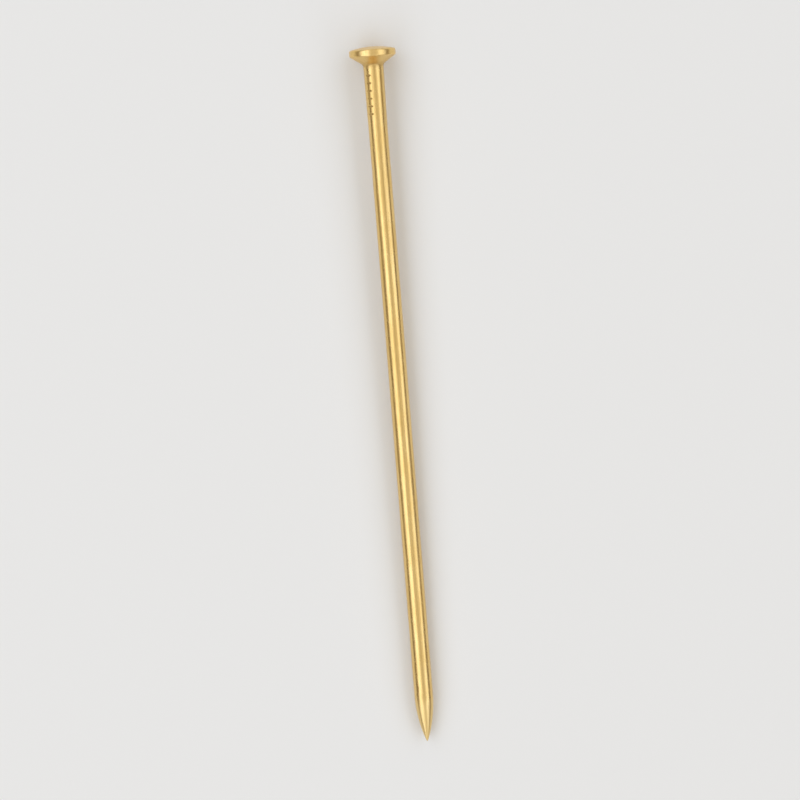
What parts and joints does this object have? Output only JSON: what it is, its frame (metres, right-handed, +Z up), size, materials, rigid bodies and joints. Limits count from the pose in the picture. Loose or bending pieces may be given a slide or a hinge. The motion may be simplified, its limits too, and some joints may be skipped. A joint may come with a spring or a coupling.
{
  "type": "straight pin",
  "caption": "Brass dressmaking pin lying on its head and shank: low domed head with a coned underside, gripped neck, straight drawn wire and a short ground point.",
  "frame": {"origin": "on the surface that the pin lies on, under the middle of its length", "axes": "+X along the pin, from the head to the point; +Z up from the surface that it lies on; the pin's own axis slopes down by 1.2 degrees towards +X, because the head is thicker than the shank"},
  "size_m": [0.026, 0.0016, 0.0017],
  "materials": {
    "brass": "bright drawn wire, tumbled smooth, with fine lengthwise draw lines and a ground point"
  },
  "bodies": {
    "root": {"pin": "brass"}
  },
  "joints": []
}
